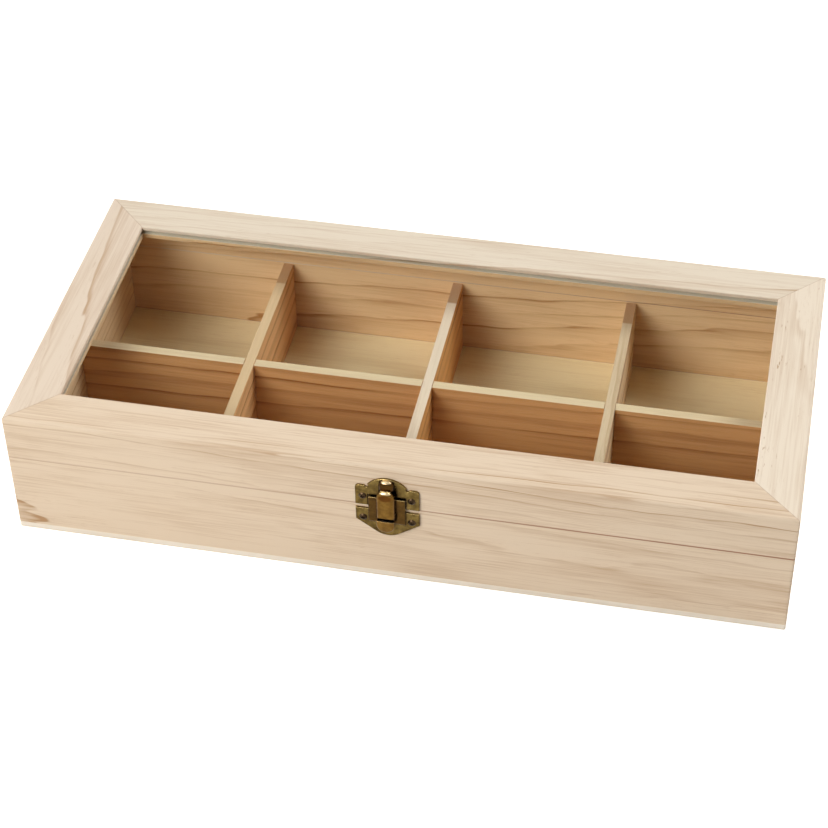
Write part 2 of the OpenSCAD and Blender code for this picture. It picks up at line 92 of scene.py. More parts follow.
def add(tree, kind, inputs=None, **settings):
    """Adds a shader node with its settings, socket values and links, and returns its outputs."""
    node = tree.nodes.new("ShaderNode" + kind)
    for name, value in settings.items():
        setattr(node, name, value)
    for socket, value in (inputs or {}).items():
        if isinstance(value, bpy.types.NodeSocket):
            tree.links.new(value, node.inputs[socket])
        else:
            node.inputs[socket].default_value = value
    return node.outputs


def empty_material(name):
    """A new material and its empty node tree."""
    material = bpy.data.materials.new(name)
    material.use_nodes = True
    material.node_tree.nodes.clear()
    return material, material.node_tree


def paulownia(
    name, pale, line, along="X", pith=(0, 40, -20), tilt=(0.0, 0.0), spacing=4.0, late=0.22, lines=0.66,
    fibres=0.5, clouds=0.55, waves=7.0, flecks=0.0, seams=False, foot=False, painted_flange_shadow=None, seed=0.0,
):
    """Paulownia: pale, light wood with thin brown lines where a year's growth ends, and short open pores.

    Lengths are in millimetres. The rings are cylinders round a pith that runs along the board, so a board
    shows arches where it was cut flat and straight lines where it was cut on the quarter. along is the
    board's own axis, pith a point of the pith counted along, across and up, and tilt its slope across and
    up. late is the share of each ring that darkens, and waves how far the trunk's slow bends shift the
    rings. lines, fibres, clouds and flecks are how much each of these darkens the wood. seams darkens it
    where the lid meets the base, and faintly at the mitres, and foot darkens it where it stands on the
    bottom. The colour given for the rear end of a top edge is painted there as the shadow that the lid's
    back rail casts on it. The eye sees bare, matt wood with a faint silky fibre.
    """
    material, tree = empty_material(name)
    turn = 0.0 if along == "X" else -math.pi / 2
    place = add(tree, "TexCoord")["Object"]
    board = add(tree, "Mapping", {"Vector": place, "Scale": (1000,) * 3, "Rotation": (0, 0, turn)})[0]

    # Noises drawn out along the board: length and width of a feature, detail and shift
    patterns = {
        "bends": (160.0, 30.0, 2.5, seed),
        "wander": (22.0, 4.0, 1.0, seed + 5),
        "fading": (70.0, 5.0, 2.0, seed + 3),
        "clouds": (60.0, 11.0, 2.0, seed + 7),
        "streaks": (45.0, 1.1, 2.0, seed + 13),
        "fibres": (25.0, 0.5, 3.0, 0.0),
        "pores": (5.0, 0.4, 1.0, 0.0),
    }
    if flecks:
        patterns["flecks"] = (5.0, 1.0, 2.0, 0.0)
        patterns["fleck_patches"] = (30.0, 9.0, 1.0, seed + 9)
    noise = {}
    for pattern, (length, width, detail, shift) in patterns.items():
        scale = (1 / length, 1 / width, 1 / width)
        moved = {"Vector": board, "Scale": scale, "Location": (shift, 0, shift)}
        stretched = add(tree, "Mapping", moved)[0]
        noise[pattern] = add(tree, "TexNoise", {"Vector": stretched, "Scale": 1.0, "Detail": detail})["Fac"]

    # Distance from the pith, bent by the slow waves and counted in years of uneven width
    axis = {"Vector": board, "Location": pith, "Rotation": (0, -tilt[1], tilt[0]), "Scale": (1e6, 1, 1)}
    from_pith = add(tree, "Mapping", axis, vector_type="TEXTURE")[0]
    radius = add(tree, "VectorMath", {0: from_pith}, operation="LENGTH")["Value"]
    bent = add(tree, "Math", {0: noise["bends"], 1: waves, 2: radius}, operation="MULTIPLY_ADD")[0]
    bent = add(tree, "Math", {0: noise["wander"], 1: 1.2, 2: bent}, operation="MULTIPLY_ADD")[0]
    uneven = add(tree, "TexNoise", {"W": bent, "Scale": 0.07, "Detail": 1.0}, noise_dimensions="1D")["Fac"]
    uneven = add(tree, "Math", {0: uneven, 1: 1.5}, operation="MULTIPLY")[0]
    years = add(tree, "Math", {0: bent, 1: 1 / spacing, 2: uneven}, operation="MULTIPLY_ADD")[0]
    part = add(tree, "Math", {0: years}, operation="FRACT")[0]
    year = add(tree, "Math", {0: years}, operation="FLOOR")[0]
    strength = add(tree, "TexWhiteNoise", {"W": year}, noise_dimensions="1D")["Value"]
    at = add(tree, "SeparateXYZ", {0: place})

    # Smooth steps: the value, where the step starts and ends, and what it gives there
    steps = {
        "line_rise": (part, 1 - late, 0.95, 0.0, 1.0),
        "line_end": (part, 0.95, 1.0, 1.0, 0.0),
        "fading": (noise["fading"], 0.35, 0.65, 0.25, 1.0),
        "line_strength": (strength, 0.0, 1.0, 0.12, 1.0),
        "halo_rise": (part, 0.1, 0.9, 0.0, 1.0),
        "halo_end": (part, 0.93, 1.0, 0.22, 0.0),
        "pores": (noise["pores"], 0.6, 0.72, 0.0, 1.0),
        "early_wood": (part, 0.0, 0.5, 1.0, 0.2),
    }
    if flecks:
        steps["flecks"] = (noise["flecks"], 0.62, 0.7, 0.0, 1.0)
        steps["fleck_patches"] = (noise["fleck_patches"], 0.5, 0.62, 0.0, 1.0)
    # Painted shadow of the lid's back rail on the rear end of a top edge
    if painted_flange_shadow:
        rear = inner_half_depth - flange_shadow_length
        steps["painted_flange_shadow"] = (at["Y"], rear / 1000, (rear + 1.5) / 1000, 0.0, 0.8)
    if foot:
        steps["foot"] = (at["Z"], (bottom_top + 0.1) / 1000, (bottom_top + 0.6) / 1000, 0.6, 0.0)
    if seams:
        from_joint = add(tree, "Math", {0: at["Z"], 1: joint_height / 1000}, operation="SUBTRACT")[0]
        from_joint = add(tree, "Math", {0: from_joint}, operation="ABSOLUTE")[0]
        along_x = add(tree, "Math", {0: at["X"]}, operation="ABSOLUTE")[0]
        along_y = add(tree, "Math", {0: at["Y"]}, operation="ABSOLUTE")[0]
        from_mitre = add(tree, "Math", {0: along_x, 1: along_y}, operation="SUBTRACT")[0]
        from_mitre = add(tree, "Math", {0: from_mitre, 1: mitre_line / 1000}, operation="SUBTRACT")[0]
        from_mitre = add(tree, "Math", {0: from_mitre}, operation="ABSOLUTE")[0]
        steps["joint"] = (from_joint, 0.0002, 0.0005, 1.0, 0.0)
        steps["joint_tone"] = (at["X"], -0.12, 0.15, 0.25, 0.75)
        steps["mitre"] = (from_mitre, 0.00005, 0.0003, 0.3, 0.0)
    step = {}
    for key, (value, low, high, start, end) in steps.items():
        limits = {"Value": value, "From Min": low, "From Max": high, "To Min": start, "To Max": end}
        step[key] = add(tree, "MapRange", limits, interpolation_type="SMOOTHSTEP")[0]

    # Each year's line has its own strength, fades in and out along the board and has a faint halo before it
    line_tone = step["line_rise"]
    for key in ("line_end", "fading", "line_strength"):
        line_tone = add(tree, "Math", {0: line_tone, 1: step[key]}, operation="MULTIPLY")[0]
    halo = add(tree, "Math", {0: step["halo_rise"], 1: step["halo_end"]}, operation="MULTIPLY")[0]
    pores = add(tree, "Math", {0: step["pores"], 1: step["early_wood"]}, operation="MULTIPLY")[0]
    streak_tone = 0.55
    pore_tone = 0.25
    # level takes off each noise's middle, so that it lightens as much as it darkens
    level = -0.5 * fibres - 0.45 * clouds - 0.5 * streak_tone
    shade = add(tree, "Math", {0: halo, 1: strength, 2: level}, operation="MULTIPLY_ADD")[0]
    tones = [
        (line_tone, lines), (noise["fibres"], fibres), (noise["clouds"], clouds),
        (noise["streaks"], streak_tone), (pores, pore_tone),
    ]
    if flecks:
        fleck = add(tree, "Math", {0: step["flecks"], 1: step["fleck_patches"]}, operation="MULTIPLY")[0]
        tones.append((fleck, flecks))
    for pattern, weight in tones:
        shade = add(tree, "Math", {0: pattern, 1: weight, 2: shade}, operation="MULTIPLY_ADD")[0]

    colour = add(tree, "Mix", {0: shade, 6: linear(pale), 7: linear(line)}, data_type="RGBA")[2]
    # The rear end of a top edge takes the painted shadow colour
    if painted_flange_shadow:
        rail_shadowed = {0: step["painted_flange_shadow"], 6: colour, 7: linear(painted_flange_shadow)}
        colour = add(tree, "Mix", rail_shadowed, data_type="RGBA")[2]
    if foot:
        colour = add(tree, "Mix", {0: step["foot"], 6: colour, 7: linear(seam_brown)}, data_type="RGBA")[2]
    if seams:
        in_joint = add(tree, "Math", {0: step["joint"], 1: step["joint_tone"]}, operation="MULTIPLY")[0]
        joint_grime_and_rim_shade = add(tree, "Math", {0: in_joint, 1: step["mitre"]}, operation="MAXIMUM")[0]
        colour = add(tree, "Mix", {0: joint_grime_and_rim_shade, 6: colour, 7: linear(seam_brown)}, data_type="RGBA")[2]
    height = add(tree, "Math", {0: noise["fibres"], 1: pores}, operation="SUBTRACT")[0]
    bump = add(tree, "Bump", {"Height": height, "Strength": 0.3, "Distance": 0.00008})[0]
    surface = {"Base Color": colour, "Normal": bump, "Roughness": 0.65, "Specular IOR Level": 0.12}
    add(tree, "OutputMaterial", {"Surface": add(tree, "BsdfPrincipled", surface)[0]})
    return material


def eased_copy(node, materials, finish_of=None, ease_of=None, left_out=None, segments=2, edge_finish=-1):
    """A joined copy of a CAD node that takes the node's place, with its sharp edges rounded.

    finish_of gives the number of a face's material from its normal and middle, and ease_of the radius of
    an edge from its middle, all in millimetres. Left out, they give the first material and edge_ease. An
    inner corner keeps a tight 0.05 mm. left_out tells from their middle which faces go, and the hole they
    leave is closed. edge_finish is the number of the rounded edges' material, and -1 gives them that of
    the faces beside them.
    """
    mesh = frame["nodes"][node].data.copy()
    mesh.name = node + "_eased"
    shape = bmesh.new()
    shape.from_mesh(mesh)
    bmesh.ops.remove_doubles(shape, verts=shape.verts, dist=2e-6)
    bmesh.ops.dissolve_limit(shape, angle_limit=math.radians(0.5), verts=shape.verts, edges=shape.edges)
    if left_out:
        going = [face for face in shape.faces if left_out(face.calc_center_median() * 1000)]
        bmesh.ops.delete(shape, geom=going, context="FACES")
        bmesh.ops.holes_fill(shape, edges=[edge for edge in shape.edges if edge.is_boundary])
        bmesh.ops.dissolve_limit(shape, angle_limit=math.radians(0.5), verts=shape.verts, edges=shape.edges)
    weight = shape.edges.layers.float.new("bevel_weight_edge")
    sharp_angle = math.radians(40)
    inner_ease = 0.05
    sharp = [e for e in shape.edges if len(e.link_faces) == 2 and e.calc_face_angle() > sharp_angle]
    radii = [ease_of((e.verts[0].co + e.verts[1].co) * 500) if ease_of else edge_ease for e in sharp]
    radii = [radius if edge.is_convex else inner_ease for edge, radius in zip(sharp, radii)]
    for edge, radius in zip(sharp, radii):
        edge[weight] = radius / max(radii)
    for face in shape.faces:
        face.smooth = True
        face.material_index = finish_of(face.normal, face.calc_center_median() * 1000) if finish_of else 0
    mesh.materials.clear()
    for material in materials:
        mesh.materials.append(material)
    shape.to_mesh(mesh)
    shape.free()
    piece = bpy.data.objects.new(node + "_eased", mesh)
    bpy.context.scene.collection.objects.link(piece)
    bevel = piece.modifiers.new("Eased edges", "BEVEL")
    bevel.limit_method = "WEIGHT"
    bevel.width = max(radii) / 1000
    bevel.segments = segments
    bevel.use_clamp_overlap = False
    bevel.material = edge_finish
    normals = piece.modifiers.new("Flat faces", "WEIGHTED_NORMAL")
    normals.weight = 100
    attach(piece, frame["nodes"][node]["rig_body"])
    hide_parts(node)
    return piece


def board_face(normal, middle):
    """0 for a face outside, 1 for one that looks into the case, 2 for the saw cut between lid and base."""
    if abs(normal.z) > 0.9 and abs(middle.z - joint_height) < 0.1:
        return 2
    looks_in = middle.x * normal.x < -1 or middle.y * normal.y < -1
    within = abs(middle.x) < inner_half_length + 0.1 and abs(middle.y) < inner_half_depth + 0.1
    return int(looks_in and within and middle.z < groove_middle)


def board_ease(middle):
    """Wider on the line where the lid opens."""
    return rim_ease if abs(middle.z - joint_height) < 0.01 else edge_ease


# Each side of the case is one board, cut into base and lid, so its grain runs on across the joint
side_boards = {
    "front": {
        "along": "X", "pith": (0, -20, 12), "tilt": (0.02, 0.004), "spacing": 3.2, "lines": 0.95,
        "fibres": 0.9, "clouds": 0.75, "seed": 0.3,
    },
    "back": {"along": "X", "pith": (0, 20, 0), "tilt": (0.03, 0.02), "seed": 4.1},
    "left": {"along": "Y", "pith": (0, 130, -30), "tilt": (0.06, 0.02), "seed": 7.7},
    "right": {"along": "Y", "pith": (0, -150, -20), "tilt": (0.05, -0.01), "seed": 11.2, "flecks": 0.7},
}
sanded_pale = {"front": "E3CEB4", "back": "E6D8C3", "left": "E3D1BC", "right": "ECDDC8"}
# Inner faces: browner and more saturated than outside, partly planed wood and partly painted shade
planed_and_shade_pale = {"front": "E0B888", "back": "E2C094", "left": "E6CAA5", "right": "E1BA88"}
board_finishes = {}
for side, board in side_boards.items():
    sawn_board = {**board, "fibres": 0.9}
    board_finishes[side] = [
        paulownia(f"sanded_paulownia_{side}", sanded_pale[side], sanded_line, seams=True, **board),
        paulownia(f"planed_and_shade_paulownia_{side}", planed_and_shade_pale[side], planed_line, foot=True, **board),
        paulownia(f"sawn_paulownia_{side}", sanded_pale[side], planed_line, **sawn_board),
    ]
    wall = eased_copy(f"base_{side}_wall", board_finishes[side], board_face, board_ease, edge_finish=0)

# Bottom: one sheet of 3 mm plywood under the walls, flush all round and nailed from below.
# Its face is pale birch veneer, a little yellower than the walls, and its sawn edge is paler still.
birch_log = {"pith": (0, 0, -400)}
birch_face = paulownia(
    "birch_veneer", "F6E5BC", "C9A873", spacing=12.0, lines=0.2, fibres=0.25, seed=2.0, **birch_log
)
birch_edge = paulownia(
    "sawn_birch_plywood", "F1E6D6", "C8B08E", spacing=1.0, lines=0.3, waves=0.0, fibres=0.3, **birch_log
)


def panel_finish(normal, middle):
    """0 for a face, 1 for the sawn edge."""
    return int(abs(normal.z) < 0.5)


eased_copy("bottom_panel", [birch_face, birch_edge], panel_finish)

# Dividers: one long board and three cross boards 4.5 mm thick, notched into each other and loose in the
# case. Their faces are planed brown, made browner partly as painted shade of the inside of the case, and
# their top edges are sanded pale.
divider_line = "8A5228"
# Colour of the painted shadow of the lid's back rail on the cross dividers' rear top ends
flange_shadow_brown = "B98A60"
divider_boards = {
    "long_divider": {"along": "X", "pith": (0, 30, -60), "tilt": (0.01, 0.02), "seed": 21.0},
    "cross_divider_left": {"along": "Y", "pith": (0, 120, -60), "tilt": (0.0, 0.05), "seed": 23.0},
    "cross_divider_middle": {"along": "Y", "pith": (0, -40, -60), "tilt": (0.0, 0.03), "seed": 27.0},
    "cross_divider_right": {"along": "Y", "pith": (0, -150, -60), "tilt": (0.0, 0.02), "seed": 29.0},
}
# Face colours differ by board, partly as wood tone and partly as painted shade of where each board stands
divider_face_and_shade_colours = {
    "long_divider": "CB9966",
    "cross_divider_left": "E8B985",
    "cross_divider_middle": "DFA768",
    "cross_divider_right": "F0D6B2",
}
divider_tops = {
    "long_divider": "E3CBA6",
    "cross_divider_left": "DFBF97",
    "cross_divider_middle": "EAD4BC",
    "cross_divider_right": "DCC3A2",
}


def divider_finish(normal, middle):
    """1 for the top edge, 0 for a face."""
    return int(normal.z > 0.9 and middle.z > joint_height - 1.5)


# The cross dividers' top edges get a painted shadow of the lid's back rail at their rear ends
for node, board in divider_boards.items():
    flange_shadow_end = None if node == "long_divider" else flange_shadow_brown
    pale = divider_face_and_shade_colours[node]
    face = paulownia(f"planed_{node}", pale, divider_line, spacing=7.0, late=0.5, foot=True, **board)
    pale = divider_tops[node]
    edge = paulownia(f"sanded_{node}", pale, sanded_line, lines=0.5, painted_flange_shadow=flange_shadow_end, **board)
    eased_copy(node, [face, edge], divider_finish)

# Lid frame: four rails of L section, cut from the same boards as the walls and mitred at the corners.
# The groove for the glass leaves a thin lip above it, and a rough-sawn one below.
for side in side_boards:
    rail = eased_copy(f"lid_{side}_rail", board_finishes[side], board_face, board_ease, edge_finish=0)

# Pane: 2 mm glass with an anti-glare surface, slid into the groove of the rails. It mirrors far less than
# bare float glass, so the compartments keep their depth. Light from the lamps passes straight through it.
pane_material, tree = empty_material("anti_glare_glass")
clear = {"Base Color": linear("FCFEFD"), "Roughness": 0.0, "IOR": 1.06, "Transmission Weight": 1.0}
glass = add(tree, "BsdfPrincipled", clear)[0]
straight = add(tree, "BsdfTransparent", {"Color": linear("FCFEFD")})[0]
path = add(tree, "LightPath")
unseen = add(tree, "Math", {0: path["Is Shadow Ray"], 1: path["Is Diffuse Ray"]}, operation="MAXIMUM")[0]
add(tree, "OutputMaterial", {"Surface": add(tree, "MixShader", {0: unseen, 1: glass, 2: straight})[0]})
pane = eased_copy("glass_pane", [pane_material])
clearance = 0.03
points = np.empty(3 * len(pane.data.vertices))
pane.data.vertices.foreach_get("co", points)
points[2::3] -= np.sign(points[2::3] * 1000 - groove_middle) * clearance / 1000
pane.data.vertices.foreach_set("co", points)

# Clasp plates: stamped steel with an antique bronze plating, lacquered dark in the hollows, partly real
# lacquer and partly painted shade. Their edges that face up are painted bright, partly as wear and partly
# as painted highlight, and those that face sideways or down are painted dark as painted shade. The catch
# plate has a hood that holds the claw, and the latch plate a channel that carries the lever.
# Colours: brown for lacquer in the hollows and for painted shade on rims, darker brown for a painted
# reflection on the lever, pale bronze for a painted highlight on crests, and bare bronze for rims that face
# up, partly wear and partly painted highlight
lacquer_and_shade_brown = "2E1A0C"
painted_reflection_brown = "4A2606"
painted_crest_highlight = "DCC59C"
bare_and_highlit_edge = "D8BC84"


def antique_bronze(name, dark, bright, roughness, rim_rub_and_highlight=0.0, dark_reflection_at=None, highlight_above=None):
    """Bronze plating with cloudy tarnish about 3 mm across, and nearly black lacquer left in the hollows.

    The lacquer in the hollows is laid on where little light gets in, so it is partly painted shade. Edges
    that face up are painted bright by the given share, partly as wear to bare metal and partly as painted
    highlight, and those that face sideways or down are painted dark with the lacquer brown as painted
    shade.
    Above the given height in millimetres all of it is painted bright as a painted highlight, and about the
    given middle an oval 6.8 by 4.2 mm is painted darker brown as a painted reflection. The eye sees a dim,
    warm shine with brighter rims.
    """
    material, tree = empty_material(name)
    place = add(tree, "TexCoord")
    tarnish = add(tree, "TexNoise", {"Vector": place["Object"], "Scale": 330.0, "Detail": 4.0})["Fac"]
    cloudy = add(tree, "MapRange", {"Value": tarnish, "From Min": 0.3, "From Max": 0.7})[0]
    colour = add(tree, "Mix", {0: cloudy, 6: linear(dark), 7: linear(bright)}, data_type="RGBA")[2]
    # Painted reflection: an oval on the lever's face below the crest painted darker brown
    if dark_reflection_at:
        oval = {"Vector": place["Object"], "Location": Vector(dark_reflection_at) / 1000, "Scale": (0.0034, 1.0, 0.0021)}
        from_middle = add(tree, "Mapping", oval, vector_type="TEXTURE")[0]
        distance = add(tree, "VectorMath", {0: from_middle}, operation="LENGTH")["Value"]
        fade = {"Value": distance, "From Min": 0.6, "From Max": 1.05, "To Min": 0.8, "To Max": 0.0}
        dark_reflection = add(tree, "MapRange", fade, interpolation_type="SMOOTHSTEP")[0]
        colour = add(tree, "Mix", {0: dark_reflection, 6: colour, 7: linear(painted_reflection_brown)}, data_type="RGBA")[2]
    # Dark lacquer where the surface is hollow: partly real lacquer and partly painted shade
    openness = add(tree, "AmbientOcclusion", {"Distance": 0.004}, samples=8)["AO"]
    hollow = {"Value": openness, "From Min": 0.25, "From Max": 0.95, "To Min": 1.0, "To Max": 0.0}
    lacquer = add(tree, "MapRange", hollow)[0]
    colour = add(tree, "Mix", {0: lacquer, 6: colour, 7: linear(lacquer_and_shade_brown)}, data_type="RGBA")[2]
    # Painted highlight: above this height the crest is painted bright all over
    if highlight_above:
        height = add(tree, "SeparateXYZ", {0: place["Object"]})["Z"]
        low = (highlight_above - 0.4) / 1000
        high = (highlight_above + 0.2) / 1000
        crest = {"Value": height, "From Min": low, "From Max": high, "To Max": 0.9}
        crest_highlight = add(tree, "MapRange", crest, interpolation_type="SMOOTHSTEP")[0]
        colour = add(tree, "Mix", {0: crest_highlight, 6: colour, 7: linear(painted_crest_highlight)}, data_type="RGBA")[2]
    # Rims that face up painted bright, partly wear and partly painted highlight; rims that face sideways or
    # down painted dark as painted shade
    if rim_rub_and_highlight:
        thinness = add(tree, "AmbientOcclusion", {"Distance": 0.0005}, samples=8, inside=True)["AO"]
        near_edge = {"Value": thinness, "From Min": 0.55, "From Max": 0.92, "To Min": 1.0, "To Max": 0.0}
        edge = add(tree, "MapRange", near_edge)[0]
        facing = add(tree, "SeparateXYZ", {0: place["Normal"]})["Z"]
        skyward = {"Value": facing, "From Min": 0.05, "From Max": 0.5, "To Max": rim_rub_and_highlight}
        upward = add(tree, "MapRange", skyward)[0]
        sideways = {"Value": facing, "From Max": 0.15, "To Min": 0.85, "To Max": 0.0}
        aside = add(tree, "MapRange", sideways)[0]
        joint_grime_and_rim_shade = add(tree, "Math", {0: edge, 1: aside}, operation="MULTIPLY")[0]
        rim_rub_and_highlight_mask = add(tree, "Math", {0: edge, 1: upward}, operation="MULTIPLY")[0]
        colour = add(tree, "Mix", {0: joint_grime_and_rim_shade, 6: colour, 7: linear(lacquer_and_shade_brown)}, data_type="RGBA")[2]
        colour = add(tree, "Mix", {0: rim_rub_and_highlight_mask, 6: colour, 7: linear(bare_and_highlit_edge)}, data_type="RGBA")[2]
    rough = {"Value": tarnish, "To Min": roughness - 0.06, "To Max": roughness + 0.06}
    surface = {"Base Color": colour, "Roughness": add(tree, "MapRange", rough)[0], "Metallic": 1.0}
    add(tree, "OutputMaterial", {"Surface": add(tree, "BsdfPrincipled", surface)[0]})
    return material


plate_bronze = antique_bronze("antique_bronze_plate", "443417", "786436", 0.26, rim_rub_and_highlight=0.95)
lacquered_bronze = antique_bronze("lacquered_bronze", "3C2A10", "58401A", 0.22, rim_rub_and_highlight=0.3)
plate_thickness = 1.0
clasp_middle = -1.0
screw_across = 10.4
screw_heights = (47.0, 34.8)
stamped_radius = 0.45
back_radius = 0.05
crown = 0.1


def depth_of(middle):
    """Depth in front of the case."""
    return case_front - middle.y


def stands_proud(normal, middle):
    """1 for the channel, which stands out from the plate."""
    return int(depth_of(middle) > plate_thickness + 0.15)


def stamped_ease(middle):
    """Wide round the front of a plate, tight behind it and round the screws' holes."""
    beside = abs(abs(middle.x - clasp_middle) - screw_across)
    from_screw = beside + min(abs(middle.z - height) for height in screw_heights)
    return stamped_radius if depth_of(middle) > plate_thickness - 0.05 and from_screw > 1.6 else back_radius


def in_hood(middle):
    """True on the catch plate's hood, which is made again below."""
    return depth_of(middle) > plate_thickness + 0.01


catch_plate = eased_copy("catch_plate", [plate_bronze], None, stamped_ease, in_hood, segments=4)
latch_finishes = [plate_bronze, lacquered_bronze]
latch_plate = eased_copy("latch_plate", latch_finishes, stands_proud, stamped_ease, segments=4)


def tongue(middle, half, tip, root, front, roll, back_at, lean=0.0, power=1.0):
    """A pressed tongue with a round tip, as a grid of points along and inwards of its outline.

    At inset t the outline is two straight sides of half width half - t and a round end. The end's points
    are the cosine and sine of the turn, raised to power: 1 is a half circle, and less is squarer. Inwards
    from the wall, the skin rolls over a quarter circle of radius roll, then rises by crown to the middle
    line. back_at gives how deep the wall starts at each height, and lean how far the tip falls back.
    """
    way = np.sign(tip - root)
    centre = tip - way * half
    steps = 24
    roll_steps = 13
    crown_steps = 9
    straight = np.linspace(root, centre, steps, endpoint=False)
    turn = np.linspace(0, np.pi, 2 * steps)
    round_across = np.sign(np.cos(turn)) * np.abs(np.cos(turn)) ** power
    across = np.concatenate([np.ones(steps), round_across, -np.ones(steps)])
    along = np.concatenate([np.zeros(steps), np.abs(np.sin(turn)) ** power, np.zeros(steps)])
    base = np.concatenate([straight, np.full(2 * steps, centre), straight[::-1]])
    rolling = np.linspace(0, np.pi / 2, roll_steps)
    inwards = np.linspace(roll, half, crown_steps)[1:]
    inset = np.concatenate([[0.0], roll * (1 - np.cos(rolling)), inwards])
    crowning = crown * (1 - ((half - inwards) / (half - roll)) ** 2)
    depth = front + np.concatenate([[-roll], roll * (np.sin(rolling) - 1), crowning])
    x = middle + way * np.outer(half - inset, across)
    z = base + way * np.outer(half - inset, along)
    y = np.tile(depth[:, None], len(base))
    y[0] = np.minimum(back_at(z[0]), depth[1] - 0.05)
    y = y - lean * (z - root) / (tip - root)
    return np.stack([x, case_front - y, z], axis=-1) / 1000


def skins(name, grids, thickness):
    """A piece made of grids of points, a face in each cell and each skin this thick inwards."""
    points = np.concatenate([grid.reshape(-1, 3) for grid in grids])
    faces = []
    first = 0
    for grid in grids:
        rows, columns = grid.shape[:2]
        corner = first + np.arange((rows - 1) * columns).reshape(rows - 1, columns)[:, :-1].ravel()
        faces.append(np.stack([corner, corner + 1, corner + columns + 1, corner + columns], axis=1))
        first += rows * columns
    mesh = bpy.data.meshes.new(name)
    mesh.from_pydata(points.tolist(), [], np.concatenate(faces).tolist())
    shape = bmesh.new()
    shape.from_mesh(mesh)
    bmesh.ops.remove_doubles(shape, verts=shape.verts, dist=1e-6)
    bmesh.ops.dissolve_degenerate(shape, dist=1e-7, edges=shape.edges)
    bmesh.ops.solidify(shape, geom=shape.faces[:], thickness=thickness / 1000)
    for face in shape.faces:
        face.smooth = True
    shape.to_mesh(mesh)
    shape.free()
    piece = bpy.data.objects.new(name, mesh)
    bpy.context.scene.collection.objects.link(piece)
    return piece


# The hood is pressed out of the catch plate, and its mouth takes the claw from below
hood_top = 57.5
hood_mouth = 53.3
hood_front = 3.2
hood_half = 3.35
hood_roll = 1.7
hood_skin = 0.7
# Height above which the hood's top is painted bright as a painted highlight
hood_highlight_above = 57.05


def hood_back(height):
    """The hood's wall starts just inside the face of the plate."""
    return np.full_like(height, plate_thickness - 0.1)


hood_points = tongue(
    clasp_middle, hood_half, hood_top, hood_mouth, hood_front, hood_roll, hood_back, power=0.8
)
hood = skins("catch_plate_hood", [hood_points], hood_skin)
hood_bronze = antique_bronze(
    "lacquered_hood", "33210C", "4C3414", 0.2, rim_rub_and_highlight=0.3, highlight_above=hood_highlight_above
)
hood.data.materials.append(hood_bronze)
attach(hood, "lid")

# Lever: two tongues pressed from 0.7 mm steel, plated as the plates are. Its crest is painted bright as a
# painted highlight, its rims that face up are brighter, partly rubbed by thumbs and partly painted
# highlight, and an oval below the crest is darker as a painted reflection.
# The strap has flanges for the pin, the claw is turned back behind its top, and the lip stands out below
# a groove.
lever_low, lever_high = (Vector(corner) * 1000 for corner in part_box("latch_lever"))
lever_middle = (lever_low.x + lever_high.x) / 2
lever_half = (lever_high.x - lever_low.x) / 2
lip_front = case_front - lever_low.y
lip_stands_out = 0.7
lever_front = lip_front - lip_stands_out
lever_skin = 0.7
strap_roll = 1.3
lip_roll = 0.8
lip_lean = 0.3
strap_foot = joint_height - 2.6
lip_top = joint_height - 3.8
flange_depth = 2.4
rim_depth = 3.45
pin_height = joint_height - 0.5


def strap_back(height):
    """The walls reach back as flanges beside the pin and the hood, and stop short above them and below."""
    above = np.clip(height - joint_height - 8.6, 0, 1)
    below = np.clip((pin_height - height) / 1.6, 0, 1)
    return flange_depth + (rim_depth - flange_depth) * np.maximum(above, below)


def lip_back(height):
    """The lip's wall is no deeper than its roll."""
    return np.full_like(height, lip_front)


strap = tongue(lever_middle, lever_half, lever_high.z, strap_foot, lever_front, strap_roll, strap_back)
lip = tongue(
    lever_middle, lever_half, lever_low.z, lip_top, lip_front - crown, lip_roll, lip_back, lean=lip_lean
)
lever = skins("latch_lever_pressed", [strap, lip], lever_skin)
# Middle of the lever's painted dark reflection
dark_reflection_middle = (lever_middle, 0, 50.7)
# Height above which the lever's crest is painted bright as a painted highlight
lever_highlight_above = 52.9
rubbed_and_painted_light_bronze = antique_bronze(
    "rubbed_and_painted_light_bronze", "583E18", "785A28", 0.18, rim_rub_and_highlight=0.7, dark_reflection_at=dark_reflection_middle, highlight_above=lever_highlight_above
)
lever.data.materials.append(rubbed_and_painted_light_bronze)
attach(lever, "lever")
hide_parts("latch_lever")

# The claw, and the web under the groove that joins the strap to the lip: two flat bars inside the shell
claw_half = 2.2
web_half = lever_half - 0.15
claw_top = lever_high.z
claw_foot = claw_top - 0.85
claw = [(2.0, claw_foot), (2.0, claw_top - 0.15), (2.15, claw_top), (4.0, claw_top), (4.4, claw_foot)]
web_front = lever_front - lever_skin
web_back = web_front - lever_skin
web_low = lip_top - 0.6
web_high = strap_foot + 0.9
web = [(web_front, web_high), (web_front, web_low), (web_back, web_low), (web_back, web_high)]
for name, profile, half in (("latch_lever_claw", claw, claw_half), ("latch_lever_web", web, web_half)):
    depth, height = np.array(profile).T
    count = len(profile)
    ends = [(np.full(count, lever_middle + side), case_front - depth, height) for side in (-half, half)]
    corner = np.arange(count)
    after = (corner + 1) % count
    sides = np.stack([corner, corner + count, after + count, after], axis=1).tolist()
    caps = [corner.tolist(), (corner + count)[::-1].tolist()]
    mesh = bpy.data.meshes.new(name)
    mesh.from_pydata((np.hstack(ends).T / 1000).tolist(), [], sides + caps)
    shape = bmesh.new()
    shape.from_mesh(mesh)
    bmesh.ops.recalc_face_normals(shape, faces=shape.faces)
    shape.to_mesh(mesh)
    shape.free()
    mesh.materials.append(lacquered_bronze)
    piece = bpy.data.objects.new(name, mesh)
    bpy.context.scene.collection.objects.link(piece)
    rounding = piece.modifiers.new("Stamped edges", "BEVEL")
    rounding.width = 0.0001
    rounding.segments = 2
    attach(piece, "lever")

